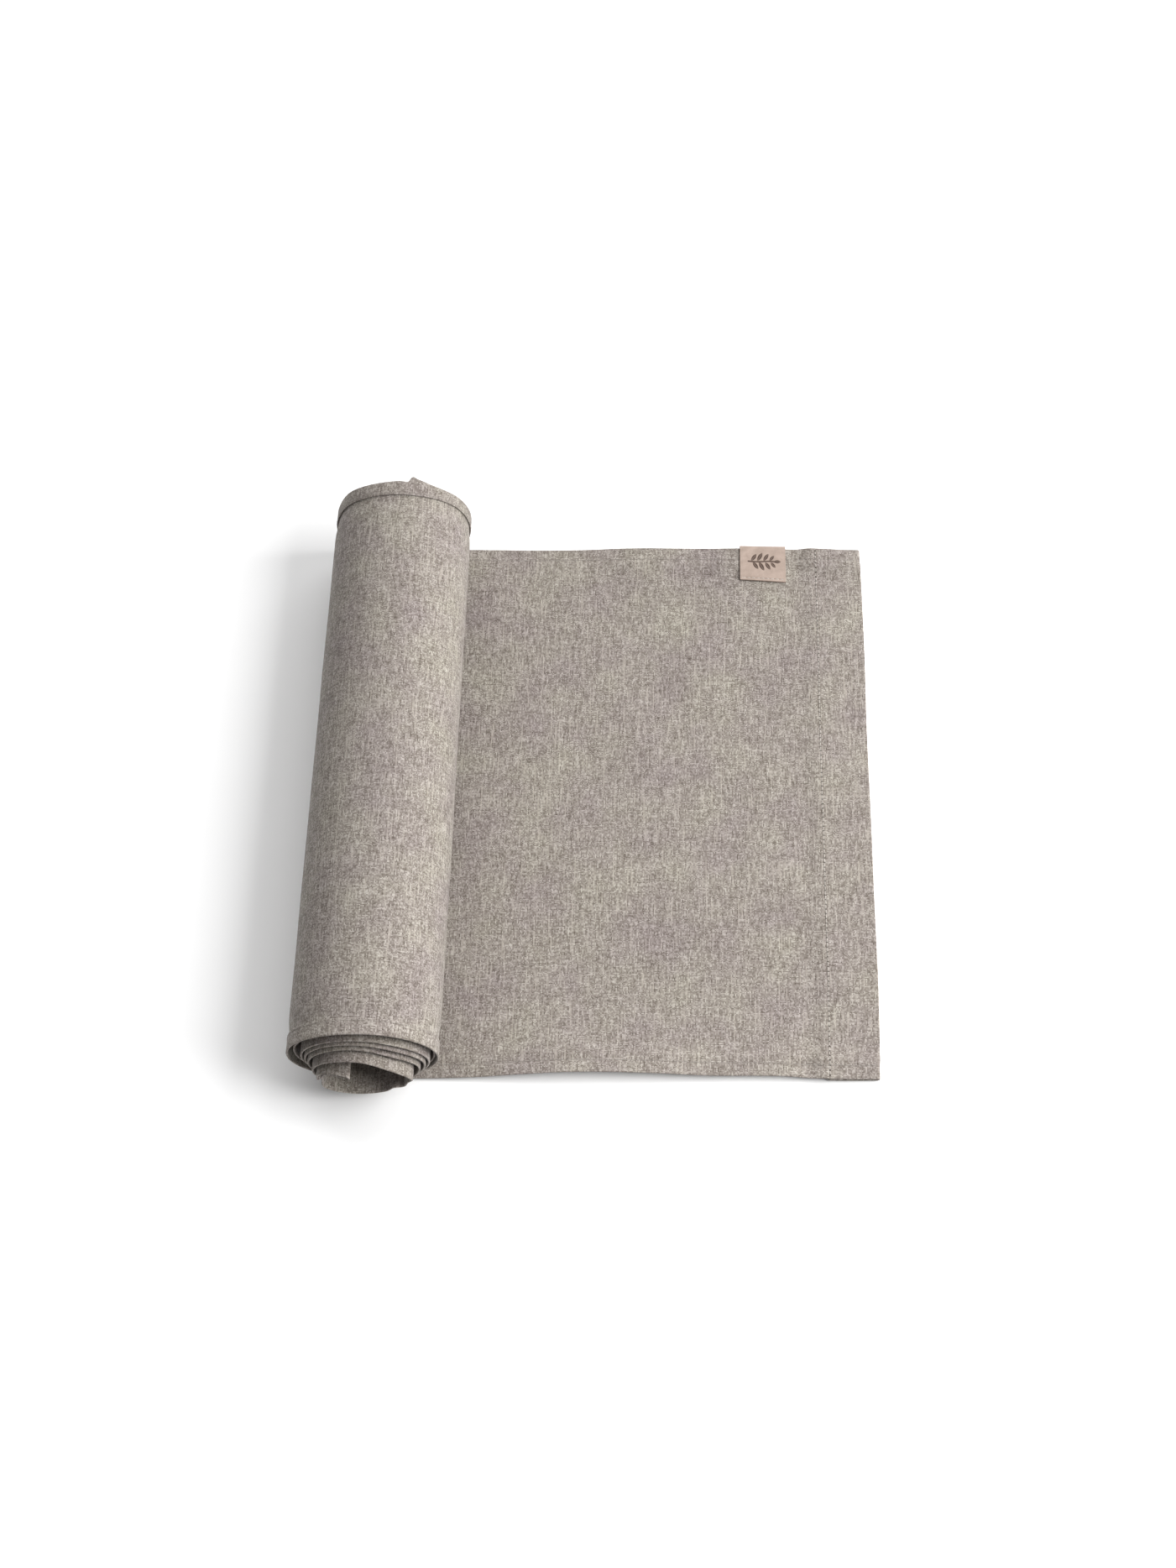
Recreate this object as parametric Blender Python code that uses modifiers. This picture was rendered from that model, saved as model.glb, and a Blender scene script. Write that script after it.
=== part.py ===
"""A linen table runner, lying flat at +X and rolled up from its other end at -X.

Metres, +Z up. The runner's length runs along X and its width along Y. Its underside rests on Z = 0, and
the origin is under the middle of its bounding box. The linen is turned under along all four edges, each
hem is held by a seam, and a leather label is folded over the back edge near the flat end.
"""

from math import pi

import bpy
import numpy as np

# The cloth
RUNNER_LENGTH = 2.000  # unrolled, from end to end
RUNNER_WIDTH = 0.450
CLOTH = 0.0005  # one layer of linen
HEM_LAYERS = 2  # layers turned under the face layer
SIDE_HEM = 0.012
END_HEM = 0.038
HEM_RAMP = 0.003  # the face layer comes down from the hem over this length

# The seams
THREAD = 0.0004  # thread diameter
SEAM_INSET = 0.0018  # from a hem's folded edge to its seam

# The leather label, folded over the back edge
LABEL_WIDTH = 0.0368
LABEL_LEG = 0.0290  # from the cloth's edge to the label's edge, on both sides of the cloth
LABEL_LEATHER = 0.0013
LABEL_FROM_END = 0.0776  # from the runner's flat end to the label's middle
LABEL_LIFT_RAMP = 0.012  # the cloth comes down beside the label over this length
LABEL_SEAM_INSET = 0.0025
LABEL_SEAM_MARGIN = 0.0030

# The roll
FLAT_LENGTH = 0.361  # from the flat end to the lowest line of the roll
ROLL_WIDTH = 0.1062
ROLL_HEIGHT = 0.0925
SIDE_SLACK = 0.0005  # air between turns, over what the hems need, at the roll's sides
TOP_SLACK = 0.0001
TURN_AIR = 0.0004  # least air between two turns
TURN_DRIFT = 0.0004  # each turn lies this much further from the roll's outer side
CORE_SLIDE = 0.017  # the innermost turn has slid this far out of the front end
TURN_STEPS = 24  # rows of facets in one turn

GAP = 0.0003  # between faces that touch on the real runner
LABEL_BEND_STEPS = 8

# What follows from them
HEM = HEM_LAYERS * CLOTH
HEM_RAISE = HEM + GAP
LABEL_LIFT = LABEL_LEATHER + GAP
STACK = HEM_RAISE + CLOTH + GAP + THREAD
BOTTOM_PITCH = STACK + TURN_AIR
SIDE_PITCH = BOTTOM_PITCH + SIDE_SLACK
TOP_PITCH = BOTTOM_PITCH + TOP_SLACK
HALF_WIDTH = RUNNER_WIDTH / 2
SIDE_SEAM_Y = HALF_WIDTH - SIDE_HEM + SEAM_INSET
END_SEAM_S = END_HEM - SEAM_INSET

# Colours, as sRGB hex
LINEN = "A9A199"
LINEN_THREAD = "B9B1A7"
LEATHER = "C7B6AB"


def linear(hex_colour):
    """The sRGB hex colour as linear red, green and blue."""
    channels = np.array([int(hex_colour[i : i + 2], 16) / 255 for i in (0, 2, 4)])
    return tuple(np.where(channels > 0.04045, ((channels + 0.055) / 1.055) ** 2.4, channels / 12.92))


def material(name, hex_colour, roughness):
    """A plain Principled material."""
    made = bpy.data.materials.new(name)
    made.use_nodes = True
    shader = made.node_tree.nodes["Principled BSDF"]
    shader.inputs["Base Color"].default_value = (*linear(hex_colour), 1)
    shader.inputs["Roughness"].default_value = roughness
    shader.inputs["Metallic"].default_value = 0
    made.diffuse_color = (*linear(hex_colour), 1)
    return made


def roll_point(turns):
    """The outer face of the rolled cloth, seen from the front, this many turns from its lowest line.

    Each turn is an ellipse that starts at the bottom and goes round by the left. Its half-width, its
    lowest point and its highest point all move inwards in proportion to the turns already made.
    """
    angle = 2 * pi * turns
    half_width = (ROLL_WIDTH + SIDE_PITCH) / 2 - SIDE_PITCH * turns
    bottom = BOTTOM_PITCH * turns
    top = ROLL_HEIGHT - TOP_PITCH * (turns - 0.5)
    x = TURN_DRIFT * turns - FLAT_LENGTH - half_width * np.sin(angle)
    z = (top + bottom) / 2 - (top - bottom) / 2 * np.cos(angle)
    return x, z


def lay_route():
    """Lengths s along the cloth from its flat end, with the x and z of its underside there.

    The rolled part is a chain of straight facets, cut off where the runner's length is used up. Rows are
    added where a hem, a ramp or the label starts or ends.
    """
    turns = np.arange(12 * TURN_STEPS) / TURN_STEPS
    x, z = roll_point(turns)
    x = np.concatenate([[0.0], x])
    z = np.concatenate([[0.0], z])
    s = np.concatenate([[0.0], np.cumsum(np.hypot(np.diff(x), np.diff(z)))])
    from_end = [0, SEAM_INSET, END_SEAM_S, END_HEM, END_HEM + GAP, END_HEM + GAP + HEM_RAMP]
    label_reach = LABEL_WIDTH / 2 + GAP + np.array([0, LABEL_LIFT_RAMP])
    extra = np.concatenate(
        [
            from_end,
            RUNNER_LENGTH - np.array(from_end),
            LABEL_FROM_END - label_reach,
            LABEL_FROM_END + label_reach,
        ]
    )
    rows = np.sort(np.concatenate([s[s < RUNNER_LENGTH], extra]))
    rows = rows[np.concatenate([[True], np.diff(rows) > GAP / 10])]
    return rows, np.interp(rows, s, x), np.interp(rows, s, z)


ROWS, ROW_X, ROW_Z = lay_route()
ORIGIN_X = ROW_X.min() / 2
LABEL_BEND = (LABEL_LIFT + STACK - LABEL_LEATHER + GAP) / 2  # inner radius of the label's fold
ORIGIN_Y = (LABEL_BEND + LABEL_LEATHER - CORE_SLIDE) / 2


def inward(x, z):
    """The direction from the underside to the face, longer at a bend so that facets stay parallel."""
    steps = np.stack([np.diff(x), np.diff(z)])
    steps /= np.hypot(*steps)
    normals = np.stack([steps[1], -steps[0]])
    before = np.concatenate([normals[:, :1], normals], axis=1)
    after = np.concatenate([normals, normals[:, -1:]], axis=1)
    middle = before + after
    return middle / (0.5 * (middle**2).sum(axis=0))


INWARD = inward(ROW_X, ROW_Z)


def slide(s):
    """How far the roll's turns have slid to the front: hardly at first, and most at the core."""
    rolled = np.clip((s - FLAT_LENGTH) / (RUNNER_LENGTH - FLAT_LENGTH), 0, 1)
    return CORE_SLIDE * rolled**3


def ramp(distance, length):
    """1 up to a distance of 0, falling evenly to 0 over the length."""
    return np.clip(1 - distance / length, 0, 1)


def label_lift(s, y):
    """How far the cloth is lifted by the label's lower leg."""
    along = ramp(np.abs(s - LABEL_FROM_END) - LABEL_WIDTH / 2 - GAP, LABEL_LIFT_RAMP)
    across = ramp(HALF_WIDTH - y - LABEL_LEG - GAP, LABEL_LIFT_RAMP)
    return LABEL_LIFT * along * across


def hem_raise(s, y):
    """How far the face layer is lifted by the hems under it."""
    from_side = HALF_WIDTH - np.abs(y) - SIDE_HEM - GAP
    from_end = np.minimum(s, RUNNER_LENGTH - s) - END_HEM - GAP
    return HEM_RAISE * ramp(np.minimum(from_side, from_end), HEM_RAMP)


def place(rows, y, height):
    """Points of the cloth at these rows, this far across and this far in from the underside."""
    x = ROW_X[rows] + INWARD[0, rows] * height - ORIGIN_X
    z = ROW_Z[rows] + INWARD[1, rows] * height
    return np.stack([x, y - slide(ROWS[rows]) - ORIGIN_Y, z], axis=-1)


def between(start, end):
    """The row numbers from s = start to s = end."""
    return np.flatnonzero((ROWS > start - GAP / 10) & (ROWS < end + GAP / 10))


def add_object(name, data, look):
    """Link a new object with its own material into the runner's collection."""
    data.materials.append(look)
    made = bpy.data.objects.new(name, data)
    RUNNER.objects.link(made)
    return made


def thicken(made, thickness):
    """Give an open surface its thickness, on the side that its faces point to."""
    modifier = made.modifiers.new("thickness", "SOLIDIFY")
    modifier.thickness = thickness
    modifier.offset = 1
    modifier.use_even_offset = True


def surface(name, points, thickness, look):
    """An open surface through a grid of points, thickened on the inner side of the roll."""
    count, across = points.shape[:2]
    index = np.arange(count * across).reshape(count, across)
    corners = [index[:-1, :-1], index[:-1, 1:], index[1:, 1:], index[1:, :-1]]
    faces = np.stack(corners, axis=-1).reshape(-1, 4)
    mesh = bpy.data.meshes.new(name)
    mesh.from_pydata(points.reshape(-1, 3).tolist(), [], faces.tolist())
    made = add_object(name, mesh, look)
    thicken(made, thickness)
    return made


def cloth_sheet(name, rows, columns, height, thickness, look):
    """A layer of cloth over these rows and these distances across, at a height that may vary."""
    s, y = np.meshgrid(ROWS[rows], columns, indexing="ij")
    heights = height(s, y)
    points = np.stack([place(rows, y[:, i], heights[:, i]) for i in range(len(columns))], axis=1)
    return surface(name, points, thickness, look)


def thread_line(name, points, look):
    """A sewn line of thread, as a tube through the points."""
    curve = bpy.data.curves.new(name, "CURVE")
    curve.dimensions = "3D"
    curve.bevel_depth = THREAD / 2
    curve.bevel_resolution = 0
    curve.use_fill_caps = True
    spline = curve.splines.new("POLY")
    spline.points.add(len(points) - 1)
    spline.points.foreach_set("co", np.column_stack([points, np.ones(len(points))]).ravel())
    return add_object(name, curve, look)


def face_height(s, y):
    """The height of the face layer over the underside."""
    return label_lift(s, y) + hem_raise(s, y)


def seam_height(s, y):
    """The height of a seam's middle line over the underside."""
    return face_height(s, y) + CLOTH + GAP + THREAD / 2


def linen_panel():
    """The face layer: raised over the hems, and flat on the table inside them."""
    hem_line = HALF_WIDTH - SIDE_HEM - GAP
    label_line = HALF_WIDTH - LABEL_LEG - GAP
    columns = [
        -HALF_WIDTH,
        -hem_line,
        HEM_RAMP - hem_line,
        label_line - LABEL_LIFT_RAMP,
        label_line,
        hem_line - HEM_RAMP,
        hem_line,
        HALF_WIDTH,
    ]
    look = material("linen_panel", LINEN, 0.9)
    cloth_sheet("linen_panel", between(0, RUNNER_LENGTH), columns, face_height, CLOTH, look)


def side_hems():
    """The turned-under layers along the front and the back edge, between the end hems."""
    rows = between(END_HEM + GAP, RUNNER_LENGTH - END_HEM - GAP)
    for name, side in (("side_hem_front", -1), ("side_hem_back", 1)):
        columns = sorted([side * HALF_WIDTH, side * (HALF_WIDTH - SIDE_HEM)])
        cloth_sheet(name, rows, columns, label_lift, HEM, material(name, LINEN, 0.9))


def end_hems():
    """The turned-under layers along the flat end and along the end at the roll's core."""
    spans = {
        "end_hem_outer": (0, END_HEM),
        "end_hem_inner": (RUNNER_LENGTH - END_HEM, RUNNER_LENGTH),
    }
    for name, span in spans.items():
        columns = [-HALF_WIDTH, HALF_WIDTH]
        look = material(name, LINEN, 0.9)
        cloth_sheet(name, between(*span), columns, lambda s, y: s * 0, HEM, look)


def seams():
    """The four hem seams, lying on the face layer."""
    for name, side in (("side_seam_thread_front", -1), ("side_seam_thread_back", 1)):
        rows = between(SEAM_INSET, RUNNER_LENGTH - SEAM_INSET)
        y = np.full(len(rows), side * SIDE_SEAM_Y)
        points = place(rows, y, seam_height(ROWS[rows], y))
        thread_line(name, points, material(name, LINEN_THREAD, 0.7))
    for name, s in (
        ("end_seam_thread_outer", END_SEAM_S),
        ("end_seam_thread_inner", RUNNER_LENGTH - END_SEAM_S),
    ):
        reach = SIDE_SEAM_Y - THREAD - GAP
        y = np.array([-reach, reach])
        rows = np.full(2, np.abs(ROWS - s).argmin())
        points = place(rows, y, seam_height(ROWS[rows], y))
        thread_line(name, points, material(name, LINEN_THREAD, 0.7))


def leather_label():
    """The label: a strip folded round the back edge, whose upper leg steps down behind the hem."""
    bend_middle = LABEL_LEATHER + LABEL_BEND
    turn = np.linspace(-pi / 2, pi / 2, LABEL_BEND_STEPS + 1)
    bend = np.stack([HALF_WIDTH + LABEL_BEND * np.cos(turn), bend_middle + LABEL_BEND * np.sin(turn)])
    step_start = HALF_WIDTH - SIDE_HEM - GAP
    step_end = step_start - 2 * HEM_RAMP
    leg_end = HALF_WIDTH - LABEL_LEG
    low = LABEL_LIFT + CLOTH + GAP
    upper = np.array([[step_start, step_end, leg_end], [bend_middle + LABEL_BEND, low, low]])
    profile = np.concatenate([[[leg_end], [LABEL_LEATHER]], bend, upper], axis=1)
    middle = -LABEL_FROM_END - ORIGIN_X
    ends = [middle - LABEL_WIDTH / 2, middle + LABEL_WIDTH / 2]
    y, z = profile
    strips = [np.stack([np.full(len(y), x), y - ORIGIN_Y, z], axis=-1) for x in ends]
    surface(
        "leather_label", np.stack(strips), LABEL_LEATHER, material("leather_label", LEATHER, 0.55)
    )
    seam_z = low + LABEL_LEATHER + GAP + THREAD / 2
    seam_y = leg_end + LABEL_SEAM_INSET - ORIGIN_Y
    reach = LABEL_WIDTH / 2 - LABEL_SEAM_MARGIN
    seam = np.array([[middle - reach, seam_y, seam_z], [middle + reach, seam_y, seam_z]])
    thread_line("label_seam_thread", seam, material("label_seam_thread", LINEN_THREAD, 0.7))


for old in list(bpy.data.objects):
    bpy.data.objects.remove(old)
RUNNER = bpy.data.collections.new("table_runner")
bpy.context.scene.collection.children.link(RUNNER)
linen_panel()
side_hems()
end_hems()
seams()
leather_label()
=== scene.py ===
# %% [markdown]
# # A linen table runner, half unrolled
#
# The object is one long cut of washed linen, turned under along all four edges and sewn, with a small
# leather label folded over its back edge. It lies flat at one end and is loosely rolled up at the other.
# The model below is made the way the runner is: one continuous cloth, five rows of real stitches, one
# folded leather strip. Every shape is a function of two lengths, worked out with numpy as whole arrays.
#
# The first cell loads the measured frame. Everything here is in metres, +Z up, and all places come from it.

import bpy
import numpy as np
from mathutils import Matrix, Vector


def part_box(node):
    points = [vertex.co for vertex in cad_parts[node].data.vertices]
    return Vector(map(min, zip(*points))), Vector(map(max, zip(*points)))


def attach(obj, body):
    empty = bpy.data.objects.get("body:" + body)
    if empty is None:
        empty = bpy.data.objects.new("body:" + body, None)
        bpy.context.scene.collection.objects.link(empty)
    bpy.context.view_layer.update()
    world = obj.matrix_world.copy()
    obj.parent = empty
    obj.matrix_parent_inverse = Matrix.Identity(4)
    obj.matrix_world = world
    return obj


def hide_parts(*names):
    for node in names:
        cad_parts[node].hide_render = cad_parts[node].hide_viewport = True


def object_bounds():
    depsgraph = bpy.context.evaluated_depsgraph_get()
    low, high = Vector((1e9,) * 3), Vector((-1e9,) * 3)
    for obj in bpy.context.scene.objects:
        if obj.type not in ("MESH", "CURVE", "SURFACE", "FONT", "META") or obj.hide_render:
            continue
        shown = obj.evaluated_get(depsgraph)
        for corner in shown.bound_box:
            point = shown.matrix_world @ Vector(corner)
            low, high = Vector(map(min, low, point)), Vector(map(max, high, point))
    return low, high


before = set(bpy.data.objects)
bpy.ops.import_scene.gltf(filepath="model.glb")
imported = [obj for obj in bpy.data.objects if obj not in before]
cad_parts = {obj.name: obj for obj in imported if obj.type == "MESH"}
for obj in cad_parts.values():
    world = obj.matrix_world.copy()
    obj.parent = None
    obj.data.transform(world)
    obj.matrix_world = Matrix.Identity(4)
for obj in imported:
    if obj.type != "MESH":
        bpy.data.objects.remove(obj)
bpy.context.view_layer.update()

MM = 0.001
_, panel_high = (np.array(corner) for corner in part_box("linen_panel"))
hem_low, hem_high = (np.array(corner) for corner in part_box("end_hem_outer"))
label_low, label_high = (np.array(corner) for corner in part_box("leather_label"))

# %% [markdown]
# ## The driving sizes
#
# A runner is cut to a width and a length, and each hem is a double fold: the edge is turned under once, the
# raw edge is tucked in, and a seam close to the inner fold holds all the layers. Those few sizes drive the
# whole model. The frame gives where the flat end, the long edges and the top of the roll are.

# %% The runner's sizes
LENGTH = 2.000  # unrolled, from end to end
WIDTH = hem_high[1] - hem_low[1]
LAYER = 0.45 * MM  # one layer of washed linen
SIDE_HEM = 12 * MM
END_HEM = 38 * MM
TUCK = 9 * MM  # raw edge folded away inside the end hem
SEAM_INSET = 1.8 * MM  # from a hem's inner fold to its seam
STITCH = 3.8 * MM  # length of one stitch
THREAD = 0.42 * MM  # sewing thread, across

FLAT_END_X = panel_high[0]
FRONT_Y = hem_low[1]
BACK_Y = hem_high[1]
ROLL_HEIGHT = panel_high[2]
FLAT_LENGTH = 361 * MM  # from the flat end to the lowest line of the roll
ROLL_WIDTH = 106.2 * MM  # across the outermost turn
print("flat size, mm:", round(WIDTH / MM, 1), "x", LENGTH / MM)

# %% [markdown]
# ## Two helpers for smooth shapes
#
# Cloth has no corners, so most shapes here are made from two soft curves. `soft_step` climbs from 0 to 1
# without a kink at either end. `through` draws a smooth line through a few given points, which is
# how a wave in the edge of the cloth is described.


# %% Smooth steps and smooth lines
def soft_step(value, start, end):
    """0 before start and 1 after end. Between them t runs from 0 to 1, and the result is 3t² - 2t³."""
    t = np.clip((value - start) / (end - start), 0, 1)
    return t * t * (3 - 2 * t)


def through(points, value):
    """A smooth line through the points: between two, the cubic with their heights and slopes."""
    x, y = np.array(points, float).T
    slope = np.gradient(y, x)
    i = np.clip(np.searchsorted(x, value) - 1, 0, len(x) - 2)
    step = x[i + 1] - x[i]
    t = np.clip((value - x[i]) / step, 0, 1)
    rising = (1 + 2 * t) * (1 - t) ** 2 * y[i] + t * (1 - t) ** 2 * step * slope[i]
    return rising + t * t * (3 - 2 * t) * y[i + 1] + t * t * (t - 1) * step * slope[i + 1]


# %% [markdown]
# ## The line that the cloth follows
#
# Seen from the front, the cloth is one line: straight along the table, then round and round. A perfect
# spiral would look drawn with compasses, and a simulation would not roll up a cloth this long in a
# sensible time. So each turn is an ellipse whose half-width, lowest and highest point creep inwards. A short
# list says where a turn lies closer or looser than that, chosen turn by turn, and it also curls the last
# few centimetres into a flap. The same function then gives the point and the direction "inwards" at any
# length along the cloth.

# %% The roll seen from the front
BOTTOM_PITCH = 2.25 * MM  # from turn to turn, under the core
SIDE_PITCH = 3.2 * MM
TOP_PITCH = 3.5 * MM
TURN_DRIFT = 0.4 * MM  # each turn lies this much further to the right
PULLED_IN = [  # turns made, and how far the cloth lies inside its ellipse there, in mm
    (0, 0), (0.25, -0.2), (0.5, 0), (0.75, 0.6), (1, 0), (1.25, 0.9), (1.5, 0.1), (1.75, 0.7),
    (2, 0), (2.25, 2.4), (2.5, 0.3), (2.62, 1.1), (2.8, 1.0),
    (3, 0), (3.25, 1.5), (3.5, 0.3), (3.62, 1.6), (3.8, 1.2),
    (4, 0), (4.25, 0.3), (4.45, 0.3), (4.6, 2.6), (4.8, 1.8),
    (5, 0.2), (5.25, 0.2), (5.45, 0.6), (5.6, 3.2), (5.75, 3.8), (5.8, 3.8), (5.85, 3.0), (5.885, 0.5),
    (5.918, 3.4), (5.95, 0.5), (5.98, -0.4), (6.1, -0.6), (6.25, -0.4), (6.31, -0.4), (6.35, 1.2), (6.42, 6),
    (6.6, 9), (7, 9),
]  # fmt: skip


def roll_line(turns):
    """x and z of the cloth's outer face after this many turns from the roll's lowest line.

    x is the half-width times the sine of the angle, to the left first, and z is the middle height minus
    half the height times its cosine. Half-width, bottom and top change in proportion to the turns made, and
    both halves are less what the cloth is pulled in.
    """
    angle = 2 * np.pi * turns
    pulled = through(PULLED_IN, turns) * MM
    half_width = (ROLL_WIDTH + SIDE_PITCH) / 2 - SIDE_PITCH * turns
    bottom = BOTTOM_PITCH * turns
    top = ROLL_HEIGHT - TOP_PITCH * (turns - 0.5)
    x = FLAT_END_X - FLAT_LENGTH + TURN_DRIFT * turns - (half_width - pulled) * np.sin(angle)
    z = (top + bottom) / 2 - ((top - bottom) / 2 - pulled) * np.cos(angle)
    return x, z


fine_turns = np.linspace(0, 7, 14001)
fine_x, fine_z = roll_line(fine_turns)
fine_s = FLAT_LENGTH + np.concatenate([[0], np.cumsum(np.hypot(np.diff(fine_x), np.diff(fine_z)))])
TURNS = np.interp(LENGTH, fine_s, fine_turns)
print("turns in the roll:", round(float(TURNS), 2))


def turns_at(s):
    """The turns made at the length s along the cloth, and 0 on the flat part."""
    return np.interp(s, fine_s, fine_turns)


def line_at(s):
    """x and z of the cloth's underside at length s, with the two parts of the direction inwards.

    On the flat part x falls with s and inwards is up. On the roll the direction along the cloth is the
    difference of two near points, and inwards is that direction turned by a quarter.
    """
    turns = turns_at(s)
    x, z = roll_line(turns)
    nudge = 1e-4
    x_after, z_after = roll_line(turns + nudge)
    x_before, z_before = roll_line(turns - nudge)
    along_x, along_z = x_after - x_before, z_after - z_before
    size = np.hypot(along_x, along_z)
    flat = s < FLAT_LENGTH
    x = np.where(flat, FLAT_END_X - s, x)
    z = np.where(flat, 0, z)
    return x, z, np.where(flat, 0, along_z / size), np.where(flat, 1, -along_x / size)


# %% [markdown]
# ## How the cloth lies
#
# Linen that has been rolled up doesn't lie dead flat. The front edge stands off the table in a long low
# wave, the back edge lifts a little beside the label, and the label's lower half raises the cloth over it.
# In the roll the inner turns have slid forward, like the end of a telescope. All of this is a height or a
# shift added to the flat cloth, as a function of the length s and the distance u from the front edge.

# %% Waves, lifts and slides
LABEL_X = (label_low[0] + label_high[0]) / 2
LABEL_S = FLAT_END_X - LABEL_X
LABEL_WIDTH = label_high[0] - label_low[0]
LABEL_LEG = BACK_Y - label_low[1] + 1.2 * MM  # from the cloth's edge to the end of each leg
LEATHER = 1.3 * MM
LABEL_LIFT = LEATHER * 1.1  # how far the lower leg raises the cloth, with a little air

FRONT_WAVE = [  # s along the cloth, and how high the front edge stands there, both in mm
    (0, 0), (36, 0.5), (64, 4.8), (85, 5.4), (108, 5.6), (134, 6.4), (160, 8.8), (195, 10.4), (225, 9.8),
    (255, 7.2), (285, 3.4), (312, 1.8), (345, 0.3), (400, 0), (2000, 0),
]  # fmt: skip
BACK_WAVE = [  # the same for the back edge
    (0, 0), (40, 0.1), (77, 0.3), (98, 0.9), (130, 2.6), (185, 2.8),
    (232, 0.2), (290, 0.6), (340, 0), (400, 0), (2000, 0),
]  # fmt: skip
WAVE_REACH = 70 * MM  # how far in from the edge a wave dies out
LOFT = 0.3 * MM  # how high the cloth lies on average, away from its ends
FRONT_BOW = [  # s, and how far the front edge is drawn back from a straight line, in mm
    (0, -1.3), (40, -1.3), (64, 0.0), (85, 0.4), (120, 0.4), (160, 1.1), (195, 1.7), (225, 1.6), (260, 0.8),
    (300, 0), (345, 0), (400, 0), (2000, 0),
]  # fmt: skip
CORNER_DRAW = 1.4 * MM  # how far the back corner is drawn in towards the front
END_BULGE = [  # u across the cloth, and how far the flat end bulges out there, in mm
    (0, 0), (67, 1.4), (140, 1.2), (210, 1.3), (280, 1.0), (355, 1.8), (425, 1.5), (450, 1.3),
]  # fmt: skip
SLIDES = [  # turns made, and how far the cloth has slid out at the roll's front, in mm
    (0, 0), (0.3, 0), (0.55, 0.4), (0.75, -0.2), (1, -1.4), (1.25, -3.0), (1.5, -3.0), (1.8, -2.6),
    (2, -0.6), (2.25, 0.9), (2.5, 2.7), (2.6, 3.7), (2.75, 2.6),
    (3, 2.6), (3.25, 2.8), (3.5, 4.5), (3.6, 6.1), (3.75, 4.8),
    (4, 5), (4.25, 5.4), (4.5, 6.6), (4.6, 8.8), (4.75, 7.4),
    (5, 8.4), (5.25, 10.4), (5.4, 12.3), (5.5, 14), (5.6, 17.2), (5.72, 17), (5.84, 13.0), (5.95, 14.4),
    (6.1, 16.6), (6.2, 16.8), (6.3, 15.8), (6.36, 17), (6.43, 20.5), (7, 22),
]  # fmt: skip
BACK_STEP = [  # turns made, and how far the outermost turn sticks out at the roll's back, in mm
    (0, 0), (0.25, 0), (0.3, 1), (0.35, 3.6), (0.42, 3.2), (0.47, 3.4), (0.52, 3.3), (0.575, 4.0),
    (0.61, 4.5), (0.65, 5.0), (0.7, 4.3), (0.76, 2.4), (0.85, 0), (1, 0), (7, 0),
]  # fmt: skip
HEM_STEP = [  # the same for its hem's outer fold alone, which is crooked past the top
    (0, 0), (0.4, 0), (0.47, 0), (0.51, 0.9), (0.522, 0.9), (0.527, 4.0), (0.545, 3.0), (0.575, 0.2),
    (0.61, -1.4), (0.65, -1.9), (0.7, -1.9), (0.76, -1.0), (0.85, 0), (1, 0), (7, 0),
]  # fmt: skip
print("highest point of the front edge, mm:", max(height for _, height in FRONT_WAVE))


def free_height(s, u):
    """How high the cloth stands over its line by itself.

    The edge waves fade with the square of the distance from their edge. A few long sines keep the rest from
    being perfectly even.
    """
    front = through(FRONT_WAVE, s / MM) * MM * np.clip(1 - u / WAVE_REACH, 0, 1) ** 2
    back = through(BACK_WAVE, s / MM) * MM * np.clip(1 - (WIDTH - u) / WAVE_REACH, 0, 1) ** 2
    ripple = np.sin(2 * np.pi * (s / 0.113 + u / 0.31)) + np.sin(2 * np.pi * (s / 0.071 - u / 0.19) + 1)
    ripple = ripple + np.sin(2 * np.pi * (u / 0.094 + s / 0.4) + 2)
    calm = soft_step(np.minimum(s, LENGTH - s), 0, 60 * MM)
    on_table = 1 - soft_step(s, FLAT_LENGTH - 60 * MM, FLAT_LENGTH)
    return np.maximum(front, back) + calm * (LOFT + ripple * (0.08 + 0.10 * on_table) * MM)


def lying_height(s, u):
    """The same with the label's lift: a flat step over its lower leg, with soft ramps round it."""
    beside = 1 - soft_step(np.abs(s - LABEL_S) - LABEL_WIDTH / 2, 0.5 * MM, 30 * MM)
    behind = 1 - soft_step(WIDTH - u - LABEL_LEG, 0.5 * MM, 25 * MM)
    return free_height(s, u) + LABEL_LIFT * beside * behind


def edge_shift(s, u):
    """How far the cloth lies from a true rectangle, in x and in y.

    In x the flat end bulges a little. In y the front edge is bowed and the back corner drawn in. In the roll
    all of a turn slides out at the front, and the outermost turn steps out at the back, by a share that is
    the square of u over the width.
    """
    turns = turns_at(s)
    bulge = through(END_BULGE, u / MM) * MM * (1 - soft_step(s, 0, 150 * MM))
    bow = through(FRONT_BOW, s / MM) * MM * (1 - soft_step(u, 0, 130 * MM))
    bow = bow - CORNER_DRAW * (1 - soft_step(s, 0, 70 * MM)) * soft_step(u, WIDTH - 90 * MM, WIDTH)
    back_step = through(BACK_STEP, turns) * MM * (u / WIDTH) ** 2
    hem_step = through(HEM_STEP, turns) * MM * soft_step(u, WIDTH - SIDE_HEM, WIDTH - 1 * MM)
    return bulge, bow + back_step + hem_step - through(SLIDES, turns) * MM


def cloth_point(s, u, height):
    """x, y, z of the point at length s, distance u from the front edge, this high over the cloth's line."""
    x, z, inward_x, inward_z = line_at(s)
    shift_x, shift_y = edge_shift(s, u)
    total = height + lying_height(s, u)
    return np.stack([x + shift_x + inward_x * total, FRONT_Y + u + shift_y, z + inward_z * total], axis=-1)


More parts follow.
